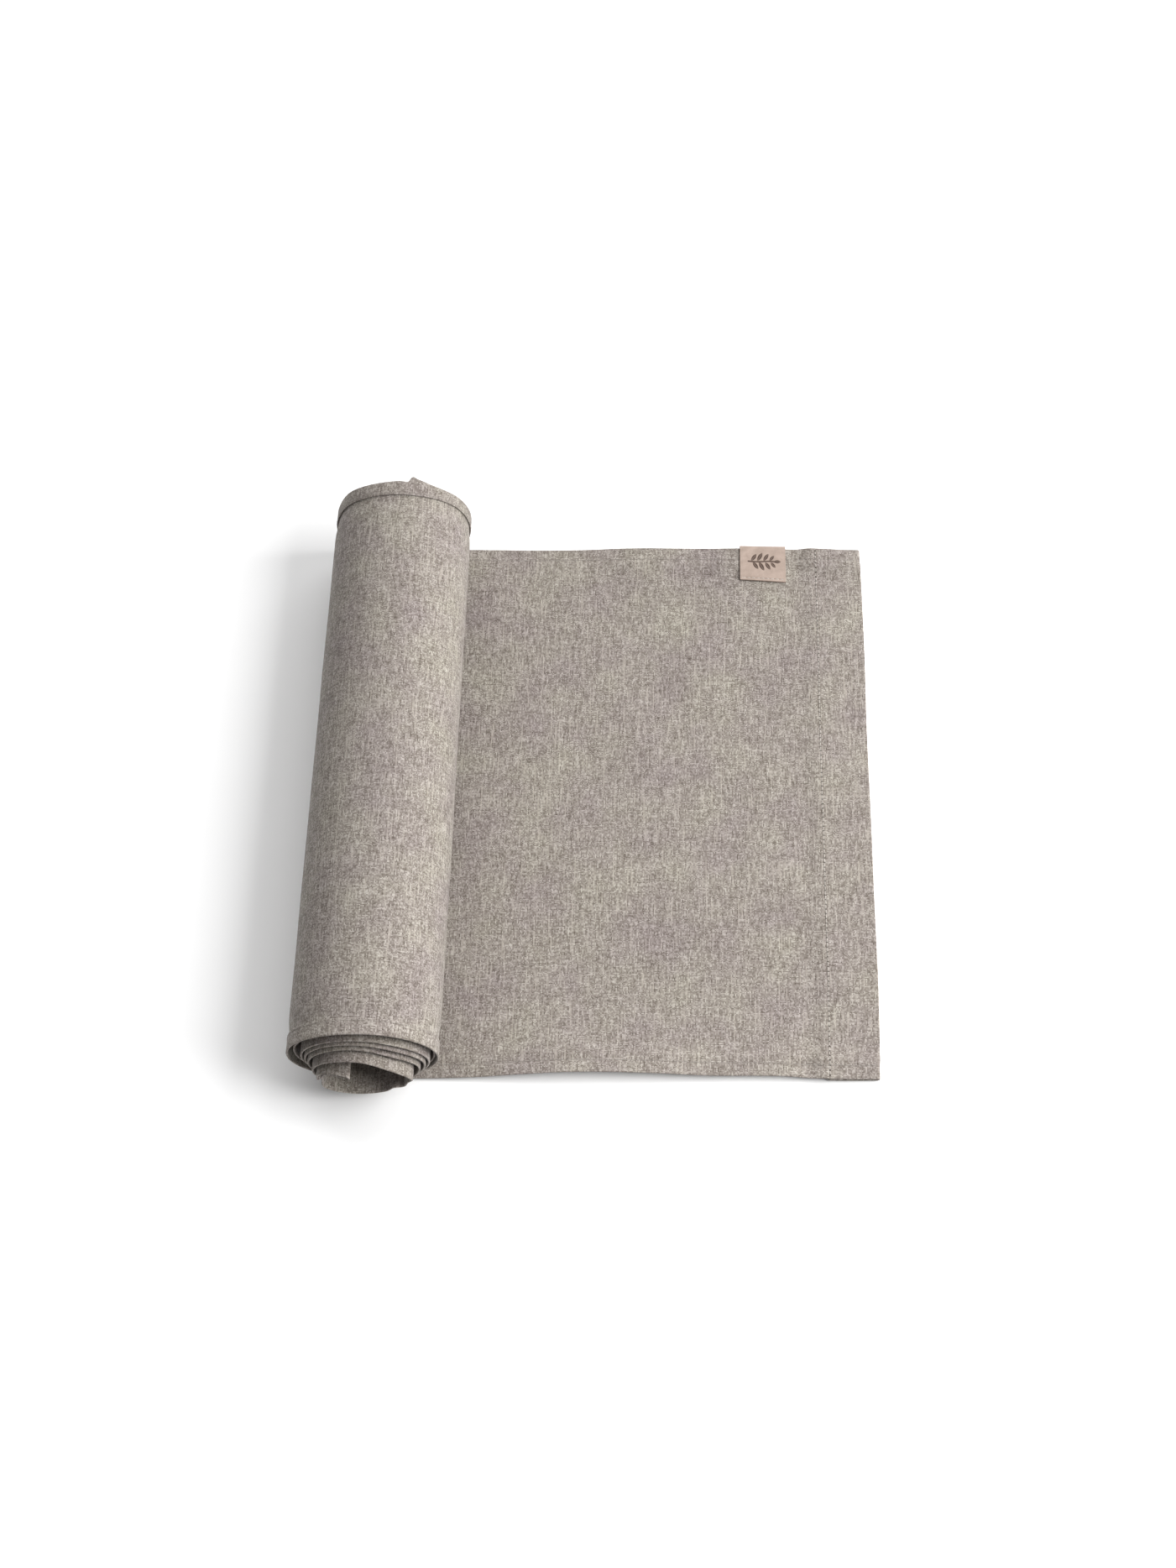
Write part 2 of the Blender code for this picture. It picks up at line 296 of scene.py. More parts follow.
# %% [markdown]
# ## One cloth, cut across
#
# A side hem is three layers thick, and the cloth between the hems is one. Cut across, the sewn cloth is one
# closed outline: over the face, round the outer fold, back under the hem, round its inner fold, and into
# the narrow slot that the seam leaves open beside it. That slot is what draws the dark line along each hem
# on the outside of the roll. Separate strips for the hems would be easier, but their joins would show.

# %% The outline across the width
SEAM_LINE = SIDE_HEM - SEAM_INSET  # from the edge to the side seam
SLOT = 0.35 * MM  # height of the slot beside the seam
HEM_RAMP = 15 * MM  # the face layer comes down from the hem over this length
FOLD = 1.5 * LAYER  # radius of the outer fold


def from_edge(u):
    """The distance to the nearer long edge."""
    return np.minimum(u, WIDTH - u)


def side_rise(u, spread=0.7 * MM):
    """How far the cloth over a side hem is raised: two layers and, past the seam, the slot."""
    d = from_edge(u)
    slot = SLOT * soft_step(d, SEAM_LINE, SEAM_LINE + spread)
    return (2 * LAYER + slot) * (1 - soft_step(d, SIDE_HEM + 0.3 * MM, SIDE_HEM + HEM_RAMP))


def seam_dent(distance):
    """How deep a seam pulls the surface in, this far from the stitches: a bell 0.8 mm wide."""
    return 0.03 * MM * np.exp(-((distance / (0.8 * MM)) ** 2))


def thickness(u):
    """From the hem's underside to the face: one layer and the rise over the hem, less the seam's dent."""
    return LAYER + side_rise(u, 5 * MM) - seam_dent(from_edge(u) - SEAM_LINE)


def half_outline():
    """Distance from the edge and height of the outline from the outer fold to the end of the ramp."""
    down = np.linspace(np.pi / 2, 3 * np.pi / 2, 8)[1:-1]
    outer = np.stack([FOLD + FOLD * np.cos(down), FOLD + FOLD * np.sin(down)])
    under = np.array([0.7, 2, 4.5, 7, 8.6, 9.5, 10.2, 10.9, 11.4]) * MM
    under = np.stack([under, seam_dent(under - SEAM_LINE)])
    up = np.linspace(-np.pi / 2, np.pi / 2, 6)[1:]
    inner = np.stack([SIDE_HEM - LAYER + LAYER * np.cos(up), LAYER + LAYER * np.sin(up)])
    deep = SEAM_LINE + 0.1 * MM
    slot = np.array([[11.1 * MM, deep, deep, 11.1 * MM], 2 * LAYER + SLOT * np.array([0, 0, 1, 1])])
    ramp = np.array([12, 12.8, 13.8, 15, 16.3, 17.8, 19.5, 23, 28]) * MM
    ramp = np.stack([ramp, side_rise(ramp)])
    return np.concatenate([outer, under, inner, slot, ramp], axis=1)


half_d, half_height = half_outline()
near_edge = np.array([0.7, 2, 4.5, 7, 8.7, 9.5, 10.2, 10.9, 11.7]) * MM
near_edge = np.concatenate([near_edge, np.array([12.8, 13.8, 15, 16.3, 17.8, 19.5, 23, 28]) * MM])
middle = np.linspace(35, WIDTH / MM - 35, 44) * MM
face_u = np.concatenate([near_edge, middle, WIDTH - near_edge[::-1]])
under_u = np.linspace(WIDTH / MM - 38, 38, 28) * MM
OUTLINE_U = np.concatenate([face_u, WIDTH - half_d, under_u, half_d[::-1]])
OUTLINE_HEIGHT = np.concatenate([thickness(face_u), half_height, 0 * under_u, half_height[::-1]])
# The layers turned under have negative distances in the weave, so its pattern differs from the face's.
turned = (half_height < LAYER * 1.9) & (half_d < SIDE_HEM)
half_weave = np.where(turned, -half_d, half_d)
OUTLINE_WEAVE = np.concatenate([face_u, WIDTH - half_weave, under_u, half_weave[::-1]])
print("points across:", len(OUTLINE_U))

# %% [markdown]
# ## One cloth, from end to end
#
# The same outline is carried along the cloth, and at each end it turns under twice: round the end fold,
# back along the table for the width of the hem, round the inner fold, and a little way back with the raw
# edge. Each fold is a half circle about a line inside it. Over the end hem the cloth is raised by what
# lies under it, which is most at the corners, where the side hems are folded in with it.

# %% The end hems
INNER_RADIUS = 0.09 * MM  # inside the tight inner fold
OUTER_RADIUS = 0.3 * MM  # inside the end fold
CORNER_RADIUS = 0.35 * MM  # what is added to it over a side hem's three layers
TUCK_GAP = 0.06 * MM  # over the tucked raw edge


def folded_layers(u):
    """Room for the outline folded in: one layer of linen, or a side hem's three and its slot."""
    single = soft_step(from_edge(u), SIDE_HEM + 0.3 * MM, SIDE_HEM + HEM_RAMP)
    return LAYER + (2 * LAYER + SLOT) * (1 - single)


def end_radius(u):
    """Inside radius of the end fold, wider at the corners where more is folded in."""
    return OUTER_RADIUS + CORNER_RADIUS * side_rise(u) / (2 * LAYER)


def end_rise(e, u):
    """How far the cloth is raised at distance e from its end.

    It is one folded layer near the end fold, and two where the tucked raw edge lies in between. The change
    is soft, and so is the ramp down behind the hem.
    """
    t = folded_layers(u)
    with_gap = t + 2 * end_radius(u)
    with_tuck = 2 * t + 2 * INNER_RADIUS + TUCK_GAP
    share = soft_step(e, END_HEM - TUCK - 16 * MM, END_HEM - TUCK - 1.5 * MM)
    ramp = 13 * MM + 3 * MM * side_rise(u) / (2 * LAYER)
    over_hem = (1 - share) * with_gap + share * with_tuck
    return over_hem * (1 - soft_step(e, END_HEM - 0.3 * MM, END_HEM + ramp))


def turn_under(u, own):
    """Rows of (distance from the end, height, place in the weave) from the raw edge to the end fold.

    u and own are the outline's distance across and height. A fold of radius r turns a point about its
    centre: the distance is the centre's less (r + own) sin a, the height the centre's plus (r + own) cos a.
    """
    t = folded_layers(u)
    inner_centre = END_HEM - INNER_RADIUS - t
    outer_centre = t + end_radius(u)
    rows = []
    for share in np.linspace(0, 1, 5)[:-1]:
        e = inner_centre - TUCK * (1 - share)
        rows.append((e, t + 2 * INNER_RADIUS + own, e - 2 * END_HEM))
    for angle in np.linspace(2 * np.pi, np.pi, 7):
        reach = INNER_RADIUS + own
        e = inner_centre - reach * np.sin(angle)
        rows.append((e, t + INNER_RADIUS + reach * np.cos(angle), e * 0 - END_HEM + 0.3 * MM * np.cos(angle)))
    for share in np.array([0.05, 0.1, 0.2, 0.35, 0.5, 0.65, 0.8, 0.9, 0.96]):
        e = inner_centre + (outer_centre - inner_centre) * share
        rows.append((e, t - own, -e))
    for angle in np.linspace(np.pi, 0, 9):
        reach = end_radius(u) + own
        e = outer_centre - reach * np.sin(angle)
        rows.append((e, t + end_radius(u) + reach * np.cos(angle), 0.7 * MM * np.cos(angle) + 0 * e))
    return [np.stack(row) for row in rows]


# %% [markdown]
# The rows are close together over the end hems, 3 mm apart on the table, and one for each few degrees in the
# roll, with more where a turn is bent sharply. The whole cloth is then one grid of rows and outline points,
# closed at both raw edges, which are hidden inside the end hems.

# %% The whole cloth
near_end = np.array([1.2, 3, 6, 10, 13.5, 17, 20, 23, 26, 28.5, 32, 34.8, 36.2, 37.4, 38.4]) * MM
near_end = np.concatenate([near_end, np.array([40, 42, 44.5, 47]) * MM])
flat_rows = np.arange(50 * MM, FLAT_LENGTH - 1 * MM, 3.2 * MM)
roll_turns = [np.arange(0, 0.515, 1 / 56), np.arange(0.515, 0.535, 1 / 400), np.arange(0.54, 5.6, 1 / 56)]
roll_turns = np.concatenate([*roll_turns, np.arange(5.6, 7, 1 / 110)])
roll_rows = np.interp(roll_turns, fine_turns, fine_s)
roll_rows = roll_rows[roll_rows < LENGTH - 48.5 * MM]
main_rows = np.concatenate([near_end, flat_rows, roll_rows, LENGTH - near_end[::-1]])


def mesh_object(name, points, faces, weave=None):
    """An object at the origin from points and faces, shaded smooth, with its weave lengths as a UV map."""
    mesh = bpy.data.meshes.new(name)
    mesh.from_pydata(points.reshape(-1, 3).tolist(), [], faces)
    mesh.shade_smooth()
    if weave is not None:
        corner = np.empty(len(mesh.loops), np.int32)
        mesh.loops.foreach_get("vertex_index", corner)
        layer = mesh.uv_layers.new(name="weave")
        layer.data.foreach_set("uv", weave.reshape(-1, 2)[corner].astype(np.float32).ravel())
    made = bpy.data.objects.new(name, mesh)
    bpy.context.scene.collection.objects.link(made)
    return made


def tube_faces(rows, around):
    """Quads of a grid of rows whose points go all the way round, with a face over each end."""
    index = np.arange(rows * around).reshape(rows, around)
    onward = np.roll(index, -1, axis=1)
    quads = np.stack([index[:-1], index[1:], onward[1:], onward[:-1]], axis=-1).reshape(-1, 4).tolist()
    return [*quads, index[0].tolist(), index[-1][::-1].tolist()]


def outward(points, faces):
    """The same faces, all turned round if together they enclose a negative volume."""
    quads = np.array([face for face in faces if len(face) == 4])
    a, b, c, d = (points.reshape(-1, 3)[quads[:, i]] for i in range(4))
    volume = (np.cross(a, b) * c).sum() + (np.cross(a, c) * d).sum()
    return faces if volume > 0 else [face[::-1] for face in faces]


def linen_cloth():
    """The whole runner: the outline carried along both end hems and the length between them."""
    u, own = OUTLINE_U, OUTLINE_HEIGHT
    folded = turn_under(u, own)
    e, s = main_rows[:, None], main_rows[:, None] + 0 * u
    centre = folded_layers(u) + end_radius(u)
    s = s + centre * (1 - soft_step(e, 0, 15 * MM)) - centre * (1 - soft_step(LENGTH - e, 0, 15 * MM))
    height = end_rise(np.minimum(s, LENGTH - s), u) + own
    start = np.stack(folded)
    end = start[::-1]
    all_s = np.concatenate([start[:, 0], s, LENGTH - end[:, 0]])
    all_height = np.concatenate([start[:, 1], height, end[:, 1]])
    all_weave = np.concatenate([start[:, 2], s, LENGTH - end[:, 2]])
    points = cloth_point(all_s, u + 0 * all_s, all_height)
    weave = np.stack([OUTLINE_WEAVE + 0 * all_s, all_weave], axis=-1)
    faces = outward(points, tube_faces(*all_s.shape))
    return mesh_object("linen_cloth", points, faces, weave)


cloth = linen_cloth()
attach(cloth, "root")
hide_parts("linen_panel", "side_hem_front", "side_hem_back", "end_hem_outer", "end_hem_inner")
print("cloth faces:", len(cloth.data.polygons))

# %% [markdown]
# ## The seams
#
# A machine stitch is two threads: one lies on the face and dips through the cloth at every needle hole, the
# other lies on the underside and meets it halfway. Painted dashes would vanish on the roll's edge, so both
# threads are real tubes. Each is a few rings per stitch, with the steep part of the dip at its ends.

# %% Sewing a row of stitches
DIP = np.array([[0.0, 0.0], [0.10, 0.8], [0.28, 1.0], [0.5, 1.06], [0.72, 1.0], [0.90, 0.8]])
SIDES = 6  # of a thread's tube
SIDE_START = 3 * MM  # from the corner to a side seam's first stitch
END_START = 2.5 * MM


def thread_tube(centre, up):
    """A tube of thread round a line of points: each ring is a circle across the line's own direction."""
    along = np.gradient(centre, axis=0)
    along /= np.linalg.norm(along, axis=1, keepdims=True)
    side = np.cross(along, up)
    side /= np.linalg.norm(side, axis=1, keepdims=True)
    upward = np.cross(side, along)
    angle = np.linspace(0, 2 * np.pi, SIDES, endpoint=False)[None, :, None]
    return centre[:, None] + THREAD / 2 * (np.cos(angle) * upward[:, None] + np.sin(angle) * side[:, None])


def stitch_row(place, count, bottom, top):
    """Both threads of a row of stitches, as two closed tubes in one set of points and faces.

    place(length, height) gives points and top(length) and bottom(length) the two surfaces. Over each stitch
    the height goes from the middle of the cloth out to its surface and back, as DIP says.
    """
    whole = np.repeat(np.arange(count), len(DIP))
    length = (whole + np.tile(DIP[:, 0], count)) * STITCH
    dip = np.tile(DIP[:, 1], count)
    points, faces, weave = [], [], []
    for surface, outside in ((top(length), 1), (bottom(length), -1)):
        middle = (top(length) + bottom(length)) / 2
        height = middle + (surface + outside * 0.10 * MM - middle) * dip
        centre = place(length, height)
        up = place(length, height + 0.1 * MM) - centre
        ring = thread_tube(centre, up)
        offset = sum(len(p) for p in points)
        own = outward(ring, tube_faces(len(length), SIDES))
        faces += [[corner + offset for corner in face] for face in own]
        points.append(ring.reshape(-1, 3))
        around = np.linspace(0, 1, SIDES, endpoint=False) + 0 * length[:, None]
        weave.append(np.stack([around, length[:, None] + 0 * around], axis=-1).reshape(-1, 2))
    return np.concatenate(points), faces, np.concatenate(weave)


def cloth_top(s, u):
    """Height of the face over the cloth's line."""
    return end_rise(np.minimum(s, LENGTH - s), u) + thickness(u)


def side_seam(name, u):
    """The seam along one long edge, at distance u from the front edge."""
    start = SIDE_START
    count = int((LENGTH - 2 * start) / STITCH)

    def place(length, height):
        return cloth_point(start + length, u + 0 * length, height)

    def bottom(length):
        return end_rise(np.minimum(start + length, LENGTH - (start + length)), u) + 0.13 * MM

    def top(length):
        return cloth_top(start + length, u + 0 * length)

    return mesh_object(name, *stitch_row(place, count, bottom, top))


def end_seam(name, s):
    """The seam across one end hem, at length s along the cloth."""
    start = END_START
    count = int((WIDTH - 2 * start) / STITCH)

    def place(length, height):
        return cloth_point(s + 0 * length, start + length, height)

    def bottom(length):
        return 0.1 * MM + 0 * length

    def top(length):
        return cloth_top(s + 0 * length, start + length)

    return mesh_object(name, *stitch_row(place, count, bottom, top))


seams = {
    "side_seam_front": side_seam("side_seam_front", SEAM_LINE),
    "side_seam_back": side_seam("side_seam_back", WIDTH - SEAM_LINE),
    "end_seam_outer": end_seam("end_seam_outer", END_HEM - SEAM_INSET),
    "end_seam_inner": end_seam("end_seam_inner", LENGTH - END_HEM + SEAM_INSET),
}
for name, seam in seams.items():
    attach(seam, "root")
    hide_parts(name.replace("_seam_", "_seam_thread_"))
print("stitch faces:", {name: len(seam.data.polygons) for name, seam in seams.items()})

# %% [markdown]
# ## The leather label
#
# The label is a strip of vegetable-tanned leather, folded over the back edge and sewn through near its two
# ends. Leather doesn't drape: it bends round the fold in an even curve and then lies nearly straight. So it
# is a rounded rectangle carried along a line made of two straight legs and a half circle. A small sprig is
# pressed into the upper leg with a hot stamp, and it is real relief, so that it catches the light.

# %% The shape of the stamp
LEAVES = [  # centre along and across the sprig, direction in degrees, half-length and half-width, in mm
    (-7.2, 3.2, 128, 3.6, 1.4), (-5.9, -3.2, -128, 3.6, 1.4),
    (-2.4, 3.7, 122, 4.0, 1.5), (-1.1, -3.7, -122, 4.0, 1.5),
    (2.6, 3.4, 126, 3.6, 1.4), (3.9, -3.4, -126, 3.6, 1.4),
    (7.2, 2.7, 132, 2.9, 1.15), (8.3, -2.7, -132, 2.9, 1.15), (11.6, 0.0, 0, 3.0, 1.2),
]  # fmt: skip


def sprig(along, across):
    """How deep the stamp is at a point of the label, 0 to 1.

    A leaf is where the distance across it is under its half-width times 1 - p², with p the share of its
    half-length. The stem is a thin line, and each edge is softened over a quarter of a millimetre.
    """
    edge = 0.28
    stem = 0.55 - np.abs(across - 0.25 * np.sin(along / 3.2))
    depth = soft_step(stem, -edge / 2, edge / 2) * (np.abs(along + 0.8) < 11.4)
    for x, y, degrees, half_length, half_width in LEAVES:
        turn = np.radians(180 - degrees)
        p = (along - x) * np.cos(turn) + (across - y) * np.sin(turn)
        q = (across - y) * np.cos(turn) - (along - x) * np.sin(turn)
        inside = half_width * (1 - (p / half_length) ** 2) - np.abs(q)
        vein = 1 - 0.6 * np.exp(-((q / 0.16) ** 2))
        depth = np.maximum(depth, soft_step(inside, -edge / 2, edge / 2) * vein)
    return depth


# %% The label
CUT_RADIUS = 0.25 * MM  # rounding of the cut edges
LABEL_GAP = 0.13 * MM  # between the leather and the cloth inside the fold
FOLD_INSET = 0.7 * MM  # from the back of the frame's label to the fold
LABEL_SEAM = 2.2 * MM  # from the label's end to its seam
LABEL_STITCHES = 9
MARK_MIDDLE = LABEL_LEG * 0.56  # from the tip to the sprig's stem
MARK_STRETCH = 1.15 * MM  # one of the sprig's own millimetres, measured across it
STAMP_DEPTH = 0.22 * MM
GROOVE_DEPTH = 0.30 * MM  # the seam lies in a shallow groove
THREAD_SUNK = 0.22 * MM  # and its thread this far under the leather's face
CUT_SKEW = 1.9 * MM


def label_skew(across, to_end):
    """How much further an end of the label reaches, because it was cut a little crooked.

    It is in proportion to the distance across the label, and fades out 12 mm from the end.
    """
    share = np.clip(across / LABEL_WIDTH + 0.5, 0, 1)
    return -CUT_SKEW * share * (1 - soft_step(to_end, 0, 12 * MM))


def label_line():
    """y and z along the middle of the leather, its direction outwards, and the distance to the tip.

    The lower leg lies on the table. The half circle joins it to the upper leg, which starts over the hem's
    three layers and comes down over the single one behind it. The tip is the upper leg's end.
    """
    fold_gap = 3 * LAYER + SLOT + 2 * LABEL_GAP
    radius = (fold_gap + LEATHER) / 2
    fold_y = label_high[1] - radius - LEATHER / 2 - FOLD_INSET
    leg_end = BACK_Y - LABEL_LEG
    lower_y = np.linspace(leg_end + 2 * MM, fold_y, 14)[:-1]
    lower_y = np.concatenate([leg_end + np.array([0, 0.15, 0.4, 1]) * MM, lower_y])
    lower = np.stack([lower_y, np.full(len(lower_y), LEATHER / 2)])
    turn = np.linspace(-np.pi / 2, np.pi / 2, 17)
    bend = np.stack([fold_y + radius * np.cos(turn), LEATHER / 2 + radius + radius * np.sin(turn)])
    upper_y = np.linspace(fold_y, leg_end + 0.6 * MM, 118)[1:]
    upper_y = np.concatenate([upper_y, leg_end + np.array([0.35, 0.15, 0]) * MM])
    drop = soft_step(fold_y - upper_y, 4 * MM, 22 * MM) * (2 * LAYER - 0.15 * MM)
    upper = np.stack([upper_y, LEATHER / 2 + 2 * radius - drop])
    y, z = np.concatenate([lower, bend, upper], axis=1)
    step = np.stack([np.gradient(y), np.gradient(z)])
    step /= np.hypot(*step)
    return y, z, step[1], -step[0], np.concatenate([0 * lower_y, 0 * turn, upper_y - leg_end])


def leather_label():
    """The strip: a flat outline with rounded corners, carried along the label's line.

    The outer side has a fine grid for the stamp's relief. Near the two cut ends the outline gets thinner, so
    that they are rounded as well.
    """
    y, z, out_y, out_z, from_tip = label_line()
    length = np.concatenate([[0], np.cumsum(np.hypot(np.diff(y), np.diff(z)))])
    half = LABEL_WIDTH / 2
    corner = np.linspace(0, np.pi / 2, 5)
    round_x = half - CUT_RADIUS + CUT_RADIUS * np.sin(corner)
    round_h = LEATHER / 2 - CUT_RADIUS + CUT_RADIUS * np.cos(corner)
    outer_x = np.linspace(-half + CUT_RADIUS, half - CUT_RADIUS, 132)[1:-1]
    inner_x = np.linspace(half - CUT_RADIUS, -half + CUT_RADIUS, 12)[1:-1]
    across = np.concatenate([outer_x, round_x, round_x[::-1], inner_x, -round_x, -round_x[::-1]])
    flat_top = 0 * outer_x + LEATHER / 2
    flat_bottom = 0 * inner_x - LEATHER / 2
    level = np.concatenate([flat_top, round_h, -round_h[::-1], flat_bottom, -round_h, round_h[::-1]])
    is_outer = np.concatenate([np.ones(len(outer_x)), np.zeros(len(across) - len(outer_x))])
    to_end = np.minimum(length, length[-1] - length)
    inside = np.clip(CUT_RADIUS - to_end, 0, None)
    lost = CUT_RADIUS - np.sqrt(np.clip(CUT_RADIUS**2 - inside**2, 0, None))
    share = (1 - lost / (LEATHER / 2))[:, None]
    on_upper = soft_step(from_tip, 0, 1 * MM)[:, None]
    mark = sprig(across[None, :] / MM, (from_tip[:, None] - MARK_MIDDLE) / MARK_STRETCH)
    mark = mark * is_outer * on_upper
    seam_distance = to_end[:, None] - LABEL_SEAM
    groove = GROOVE_DEPTH * np.exp(-((seam_distance / (0.45 * MM)) ** 2))
    groove = groove * is_outer * (np.abs(across) < half - 2 * MM)
    depth = level[None, :] * share - mark * STAMP_DEPTH - groove
    x = LABEL_X + across + 0 * depth
    place_y = y[:, None] + out_y[:, None] * depth + label_skew(across[None, :], to_end[:, None])
    along_cloth = FLAT_END_X - x
    lift = free_height(along_cloth, np.clip(y - FRONT_Y, 0, WIDTH)[:, None])
    points = np.stack([x, place_y, z[:, None] + out_z[:, None] * depth + lift], axis=-1)
    faces = outward(points, tube_faces(len(y), len(across)))
    made = mesh_object("label", points, faces, np.stack([x - LABEL_X, length[:, None] + 0 * x], axis=-1))
    # Near the cut edge the colour is darkened, partly for the leather's own fibres and partly as painted
    # shade.
    cut_edge_and_shade = 1 - np.clip(np.abs(depth) / (LEATHER / 2), 0, 1)
    for name, value in (("stamp", mark + 0 * depth), ("cut_edge_and_shade", cut_edge_and_shade)):
        attribute = made.data.attributes.new(name, "FLOAT", "POINT")
        attribute.data.foreach_set("value", value.astype(np.float32).ravel())
    return made


label = leather_label()
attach(label, "root")
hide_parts("leather_label")
print("label faces:", len(label.data.polygons))


# %% The label's seam
def label_seam():
    """Stitches through both legs and the cloth between them, in a groove near the label's edge."""
    y, z, out_y, out_z, _ = label_line()
    upper = int(np.abs(y - (BACK_Y - LABEL_LEG + LABEL_SEAM))[len(y) // 3 :].argmin()) + len(y) // 3
    high = z[upper] + LEATHER / 2 - THREAD_SUNK
    start = LABEL_X - LABEL_STITCHES * STITCH / 2

    def place(length, height):
        lift = free_height(FLAT_END_X - start - length, y[upper] - FRONT_Y)
        skew = label_skew(start + length - LABEL_X, LABEL_SEAM)
        return np.stack([start + length, y[upper] + skew + 0 * length, height + lift], axis=-1)

    def bottom(length):
        return 0.30 * MM + 0 * length

    def top(length):
        return high + 0 * length

    return mesh_object("label_seam", *stitch_row(place, LABEL_STITCHES, bottom, top))


label_stitches = label_seam()
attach(label_stitches, "root")
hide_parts("label_seam_thread")
print("label stitches:", LABEL_STITCHES)

# %% [markdown]
# ## Building materials from nodes
#
# Each material is a small network of nodes. One helper adds a node with its settings and links, three more
# make the kinds that come back most often, and one function turns the usual sRGB hex colours into the
# linear values that a shader works with.


# %% Colour and node helpers
def linear(hex_colour):
    """Linear red, green, blue and alpha of an sRGB hex colour, by the sRGB transfer curve."""
    channels = np.array([int(hex_colour[i : i + 2], 16) / 255 for i in (0, 2, 4)])
    made = np.where(channels > 0.04045, ((channels + 0.055) / 1.055) ** 2.4, channels / 12.92)
    return (*made.tolist(), 1.0)


def add(tree, kind, inputs=None, **settings):
    """Add a node with its settings. An input is a number, a colour, another node's socket, or a node."""
    made = tree.nodes.new(kind)
    for name, value in settings.items():
        setattr(made, name, value)
    for name, value in (inputs or {}).items():
        if isinstance(value, bpy.types.Node):
            value = value.outputs[0]
        if isinstance(value, bpy.types.NodeSocket):
            tree.links.new(value, made.inputs[name])
        else:
            made.inputs[name].default_value = value
    return made


def maths(tree, operation, *values):
    """A Math node that does this operation with these values."""
    return add(tree, "ShaderNodeMath", dict(enumerate(values)), operation=operation)


def mixed(tree, share, first, second, blend="MIX"):
    """The colour this share of the way from the first colour to the second, or another blend of them."""
    inputs = {"Factor": share, 6: first, 7: second}
    return add(tree, "ShaderNodeMix", inputs, data_type="RGBA", blend_type=blend).outputs[2]


def ramp(tree, value, first, *middle_and_last):
    """A colour ramp. Each stop is a position and a hex colour."""
    *middle, last = middle_and_last
    made = add(tree, "ShaderNodeValToRGB", {0: value})
    for stop, (position, colour) in zip(made.color_ramp.elements, (first, last)):
        stop.position = position
        stop.color = linear(colour)
    for position, colour in middle:
        made.color_ramp.elements.new(position).color = linear(colour)
    return made


def new_material(name):
    """A material with an empty node tree, its Principled shader and its output."""
    made = bpy.data.materials.new(name)
    made.use_nodes = True
    made.node_tree.nodes.clear()
    shader = add(made.node_tree, "ShaderNodeBsdfPrincipled")
    add(made.node_tree, "ShaderNodeOutputMaterial", {"Surface": shader})
    return made, made.node_tree, shader


# %% [markdown]
# ## Washed linen
#
# Linen is a plain weave of flax yarn. The yarn is uneven: thick places called slubs run along it, and each
# yarn takes the light a little differently, which gives the cloth its flecks and short streaks in both
# directions. Washing leaves it matte and slightly cloudy. The pattern is worked out from the lengths
# along and across the cloth, in the UV map, so it follows the cloth round the roll and under the hems.
# Real yarns lie about 0.5 mm apart. They are drawn 0.9 mm apart here, or they wouldn't show.

# %% Linen
YARN = 0.9 * MM


